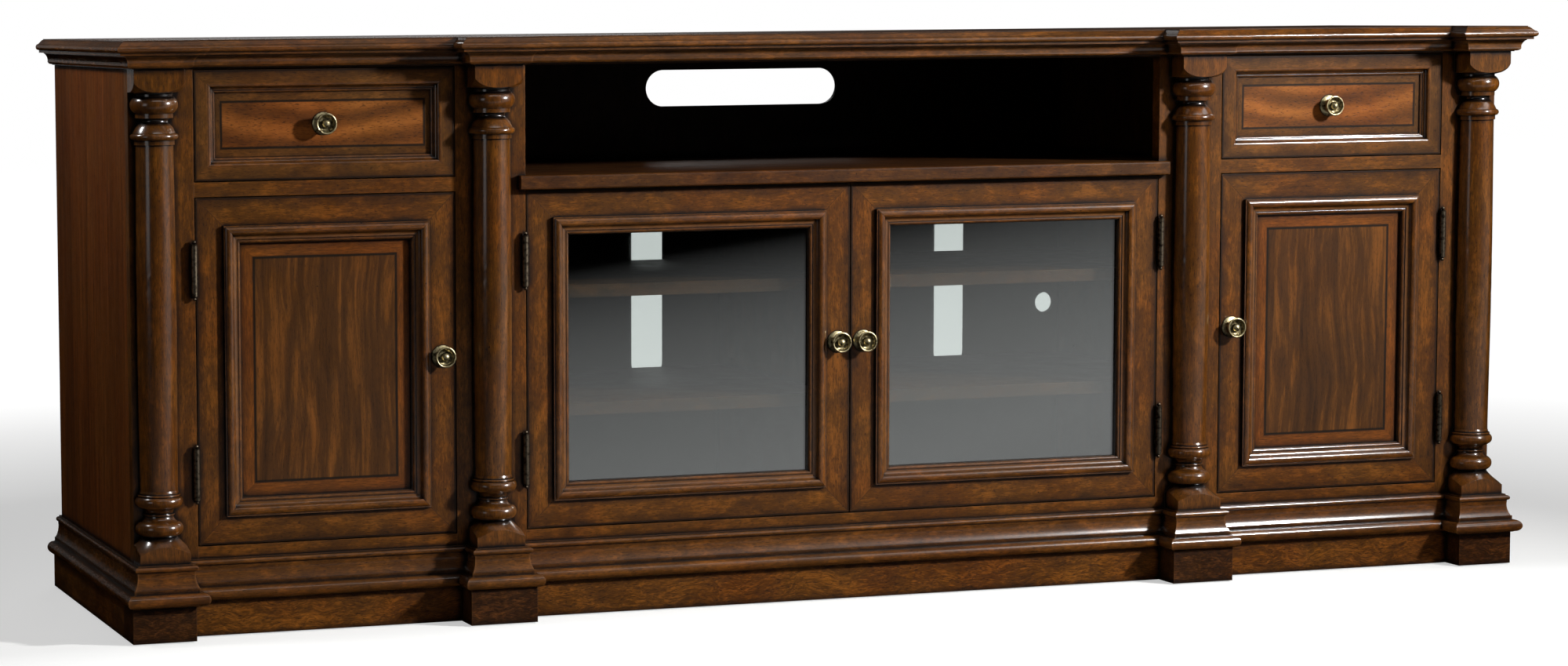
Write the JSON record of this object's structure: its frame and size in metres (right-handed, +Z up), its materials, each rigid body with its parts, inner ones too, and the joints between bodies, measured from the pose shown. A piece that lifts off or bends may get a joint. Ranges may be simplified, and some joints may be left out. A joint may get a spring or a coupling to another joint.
{
  "type": "media console cabinet",
  "caption": "Low wooden media console with turned columns, panelled and glazed doors, drawers and an open bay under a moulded top.",
  "frame": {"origin": "centre of the bounding box in plan, on the floor under the glides", "axes": "+X towards the console's own right seen from the front, +Y towards the back, +Z up"},
  "size_m": [2.17, 0.548, 0.813],
  "materials": {
    "stained_wood": "satin lacquer over dark red-brown stain",
    "turned_wood": "glossier lacquer over dark red-brown stain",
    "figured_wood": "satin lacquer over figured veneer",
    "veneer": "satin lacquer over figured veneer with a dark inlay line",
    "inner_wood": "matt stain",
    "plain_wood": "plain sealed wood",
    "back_board": "matt stain",
    "aged_brass": "antique brass, worn bright on the rims",
    "aged_bronze": "dark bronzed brass",
    "steel": "zinc plated",
    "dark_plastic": "matt",
    "glass": "clear"
  },
  "bodies": {
    "cabinet": {"top_board": "stained_wood", "cornice_moulding": "stained_wood", "side_panels": "stained_wood", "bottom_panel": "inner_wood", "partitions": "inner_wood", "centre_deck": "inner_wood", "deck_front_edge": "stained_wood", "bay_decks": "inner_wood", "drawer_side_boards": "inner_wood", "face_frame": "stained_wood", "bay_back_panels": "back_board", "centre_back_panel": "back_board", "carcass_rails": "plain_wood", "turned_columns": "turned_wood", "plinth_blocks": "figured_wood", "baseboards": "stained_wood", "base_moulding": "stained_wood", "adjustable_shelves": "inner_wood", "shelf_pins": "steel", "hinge_fixed_leaves": "aged_bronze", "hinge_pins": "aged_bronze", "slide_outer_members": "steel", "door_catches": "dark_plastic", "floor_glides": "dark_plastic"},
    "left_drawer": {"left_drawer_front": "veneer", "left_drawer_moulding": "stained_wood", "left_drawer_knob": "aged_brass", "left_drawer_box": "plain_wood", "left_drawer_bottom": "plain_wood", "left_slide_inner_members": "steel"},
    "left_drawer_slides": {"left_slide_middle_members": "steel"},
    "left_door": {"left_door_frame": "stained_wood", "left_door_moulding": "stained_wood", "left_door_panel": "veneer", "left_door_knob": "aged_brass", "left_door_hinge_leaves": "aged_bronze"},
    "left_glass_door": {"left_glass_door_frame": "stained_wood", "left_glass_door_moulding": "stained_wood", "left_glass_pane": "glass", "left_glass_beads": "stained_wood", "left_glass_door_knob": "aged_brass", "left_glass_door_hinge_leaves": "aged_bronze"},
    "right_drawer": {"right_drawer_front": "veneer", "right_drawer_moulding": "stained_wood", "right_drawer_knob": "aged_brass", "right_drawer_box": "plain_wood", "right_drawer_bottom": "plain_wood", "right_slide_inner_members": "steel"},
    "right_drawer_slides": {"right_slide_middle_members": "steel"},
    "right_door": {"right_door_frame": "stained_wood", "right_door_moulding": "stained_wood", "right_door_panel": "veneer", "right_door_knob": "aged_brass", "right_door_hinge_leaves": "aged_bronze"},
    "right_glass_door": {"right_glass_door_frame": "stained_wood", "right_glass_door_moulding": "stained_wood", "right_glass_pane": "glass", "right_glass_beads": "stained_wood", "right_glass_door_knob": "aged_brass", "right_glass_door_hinge_leaves": "aged_bronze"}
  },
  "joints": [
    {"name": "left_drawer_travel", "type": "slide", "parent": "cabinet", "child": "left_drawer", "axis": [0, -1, 0], "range_m": [0, 0.4]},
    {"name": "left_slide_travel", "type": "slide", "parent": "cabinet", "child": "left_drawer_slides", "axis": [0, -1, 0], "range_m": [0, 0.2]},
    {"name": "left_door_swing", "type": "hinge", "parent": "cabinet", "child": "left_door", "pos_m": [-0.9687, -0.2108, 0.36225], "axis": [0, 0, -1], "range_deg": [0, 100]},
    {"name": "left_glass_door_swing", "type": "hinge", "parent": "cabinet", "child": "left_glass_door", "pos_m": [-0.4942, -0.2108, 0.36225], "axis": [0, 0, -1], "range_deg": [0, 100]},
    {"name": "right_drawer_travel", "type": "slide", "parent": "cabinet", "child": "right_drawer", "axis": [0, -1, 0], "range_m": [0, 0.4]},
    {"name": "right_slide_travel", "type": "slide", "parent": "cabinet", "child": "right_drawer_slides", "axis": [0, -1, 0], "range_m": [0, 0.2]},
    {"name": "right_door_swing", "type": "hinge", "parent": "cabinet", "child": "right_door", "pos_m": [0.9687, -0.2108, 0.36225], "axis": [0, 0, 1], "range_deg": [0, 100]},
    {"name": "right_glass_door_swing", "type": "hinge", "parent": "cabinet", "child": "right_glass_door", "pos_m": [0.4942, -0.2108, 0.36225], "axis": [0, 0, 1], "range_deg": [0, 100]}
  ],
  "couplings": [
    {"joint": "left_slide_travel", "follows": "left_drawer_travel", "ratio": 0.5},
    {"joint": "right_slide_travel", "follows": "right_drawer_travel", "ratio": 0.5}
  ]
}
